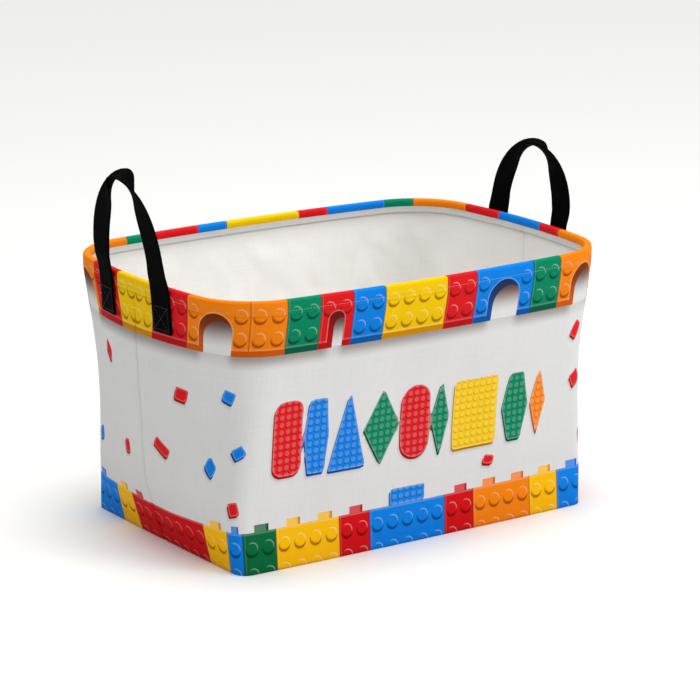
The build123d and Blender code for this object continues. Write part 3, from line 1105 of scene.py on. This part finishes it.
# ---- handles ----
# Each handle is one length of 25 mm black polypropylene webbing. Its two tails are sewn flat
# to the outside of the rim, and the loop between them twists so that it stands edge up.
webbing_width = 25.0
webbing = 1.6
leg_spacing = 87.0
tail_foot = 190.4
tail_top = 217.5
tail_offset = 1.5
hinge_x = 202.599
hinge_z = 229.4
loop_shapes = {     # side, rise, crown radius, twist power
    "left": (-1, 85.0, 8.0, 5.0),
    "right": (1, 64.0, 9.0, 3.5),
}
loop_stations = 46
leg_straight = 8.0
handle_lean = radians(5.0)
webbing_map = 330.0


def arch_point(rise, crown, share):
    """Point and heading on half of a loop's middle line, from its foot (0) to its crown (1)."""
    half_span = leg_spacing / 2
    climb = rise - webbing / 2 - crown - leg_straight
    bend = (half_span**2 + climb**2 - crown**2) / (2 * (half_span - crown))
    lean_in = atan2(climb, bend - half_span)
    bend_length = bend * lean_in
    along = share * (leg_straight + bend_length + crown * (pi / 2 - lean_in))
    if along < leg_straight:
        return -half_span, along, 0.0
    if along < leg_straight + bend_length:
        turn = (along - leg_straight) / bend
        return -half_span + bend * (1 - cos(turn)), leg_straight + bend * sin(turn), turn
    turn = min(lean_in + (along - leg_straight - bend_length) / crown, pi / 2)
    return -crown * cos(turn), leg_straight + climb + crown * sin(turn), turn


def webbing_weave_with_painted_shade():
    """Black webbing: rows of slanting ribs, alternating in direction, with painted shade in the channels
    between them.
    """
    material, tree, shader = new_material("webbing_weave")
    rib_pitch = 1.3
    wale_pitch = 2.1
    along, across, _ = split_xyz(tree, add(tree, "ShaderNodeUVMap", uv_map="OFBake").outputs[0])
    wale = across * webbing_map * (1 / wale_pitch)
    slant = abs((wale * 0.5).math("FRACT") - 0.5)
    rib = abs(((along * webbing_map / rib_pitch + slant * 3.2) * pi).math("SINE"))
    channel = abs((wale * pi).math("SINE"))
    height = rib * channel.math("POWER", 0.4)
    # painted shade: the channels between the ribs are darker and the rib tops lighter, with random grain
    tone = height * (grain(tree, 900) + 0.4)
    feed(tree, shader.inputs["Base Color"], blend_colour(tree, tone, ink(2, 2, 2), ink(8, 8, 9)))
    shader.inputs["Roughness"].default_value = 0.8
    shader.inputs["Specular IOR Level"].default_value = 0.02
    relief(tree, shader, height, 0.6, 0.0004)
    return material


def strap_section():
    """Half width and half thickness places round the webbing, with rounded selvedges."""
    half = webbing_width / 2 - webbing / 2
    flat = np.linspace(-half, half, 11)
    swell = 1 + 0.06 * np.cos(flat / half * 3 * pi)
    upper = [(x, webbing / 2 * s) for x, s in zip(flat, swell)]
    right_edge = [(half + webbing / 2 * sin(a), webbing / 2 * cos(a)) for a in (pi / 4, pi / 2, 3 * pi / 4)]
    lower = [(x, -webbing / 2 * s) for x, s in zip(flat[::-1], swell[::-1])]
    left_edge = [(-x, z) for x, z in right_edge[::-1]]
    return np.array(upper + right_edge + lower + left_edge)


webbing_black = webbing_weave_with_painted_shade()
black_thread = spun_thread("black_thread", ink(34, 34, 36), ink(12, 12, 13))
section = strap_section()
section_steps = np.linalg.norm(np.diff(np.concatenate((section, section[:1])), axis=0), axis=1)
section_run = np.concatenate(([0], np.cumsum(section_steps))) / webbing_map


def wall_x(y, height):
    """How far out the wall's end is at a place across it and a height."""
    line = wall_rows([min(height, hem_seam)], 0.0)[0][:70]
    return np.interp(abs(y), -line[:, 1], -line[:, 0])


def handle(end):
    """One strap: up a leg's tail, over the twisting loop and down the other leg's tail."""
    side, rise, crown, twist_power = loop_shapes[end]
    upright = Vector((side * sin(handle_lean), 0, cos(handle_lean)))
    outwards = Vector((side * cos(handle_lean), 0, -sin(handle_lean)))
    across = Vector((0, 1, 0))
    hinge = Vector((side * hinge_x, 0, hinge_z))
    frames = []
    for leg in (1, -1):
        leg_frames = []
        y = -leg * leg_spacing / 2
        slope = (wall_x(y + 5, 200) - wall_x(y - 5, 200)) / 10
        width_way = Vector((side * slope, 1, 0)).normalized()
        sense = -side * leg
        for height in np.linspace(tail_foot, tail_top, 10):
            x = wall_x(y, height) + tail_offset
            leg_frames.append((Vector((side * x, y, height)), width_way))
        for station in range(loop_stations + 1):
            share = station / loop_stations
            offset, climb, turn = arch_point(rise, crown, share)
            twist = pi / 2 * share**twist_power
            level_way = across * (-leg * cos(turn)) + upright * sin(turn)
            way = level_way * (sense * cos(twist)) + outwards * sin(twist)
            ease = min(share / 0.2, 1.0)
            foot_way = width_way * (-leg * sense)
            way = (foot_way * (1 - ease) + way * ease).normalized()
            spot = hinge + across * (leg * offset) + upright * climb
            swing = min(max((spot.z - 218) / 24, 0.0), 1.0)
            swing = swing * swing * (3 - 2 * swing)
            inwards = side * (wall_x(y, 220) + tail_offset) - spot.x
            leg_frames.append((spot + Vector((inwards * (1 - swing), 0, 0)), way * (-leg * sense)))
        frames.append(leg_frames)
    # up the first leg and back down the second
    path = frames[0] + frames[1][-2::-1]
    places = np.array([place for place, _ in path])
    ways = [way for _, way in path]
    for k in range(1, len(ways)):
        if ways[k].dot(ways[k - 1]) < 0:
            ways[k] = -ways[k]
    run = np.concatenate(([0], np.cumsum(np.linalg.norm(np.diff(places, axis=0), axis=1))))
    headings = np.gradient(places, axis=0)
    sections = []
    for spot, way, heading in zip(places, ways, headings):
        heading = Vector(heading).normalized()
        way = (way - heading * way.dot(heading)).normalized()
        normal = way.cross(heading)
        sections.append([spot + np.array(way) * x + np.array(normal) * z for x, z in section])
    piece = closed_tube(f"{end}_handle", np.array(sections), run / webbing_map, section_run)
    piece.data.materials.append(webbing_black)
    return piece


box_half_width = 9.5
box_low, box_high = 193.0, 212.0
for end in ("left", "right"):
    side = loop_shapes[end][0]
    strap = handle(end)
    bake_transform(strap)
    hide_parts(f"{end}_front_tail", f"{end}_rear_tail", f"{end}_handle_loop")

    lines = []
    for leg in (-1, 1):
        a, b, c, d = ((-box_half_width, box_low), (box_half_width, box_low),
                      (box_half_width, box_high), (-box_half_width, box_high))
        for run in ((a, b, c, d, a), (a, c), (d, b)):
            line = []
            for (y0, z0), (y1, z1) in zip(run, run[1:]):
                for share in np.linspace(0, 1, 5):
                    y = leg * leg_spacing / 2 + y0 + (y1 - y0) * share
                    z = z0 + (z1 - z0) * share
                    line.append((side * (wall_x(y, z) + tail_offset + webbing / 2 + 0.12), y, z))
            lines.append(line)
    sewn(f"{end}_tail_stitches", lines, black_thread, 2.6, 2.2, 0.45, "rim", f"{end}_handle_stitching")
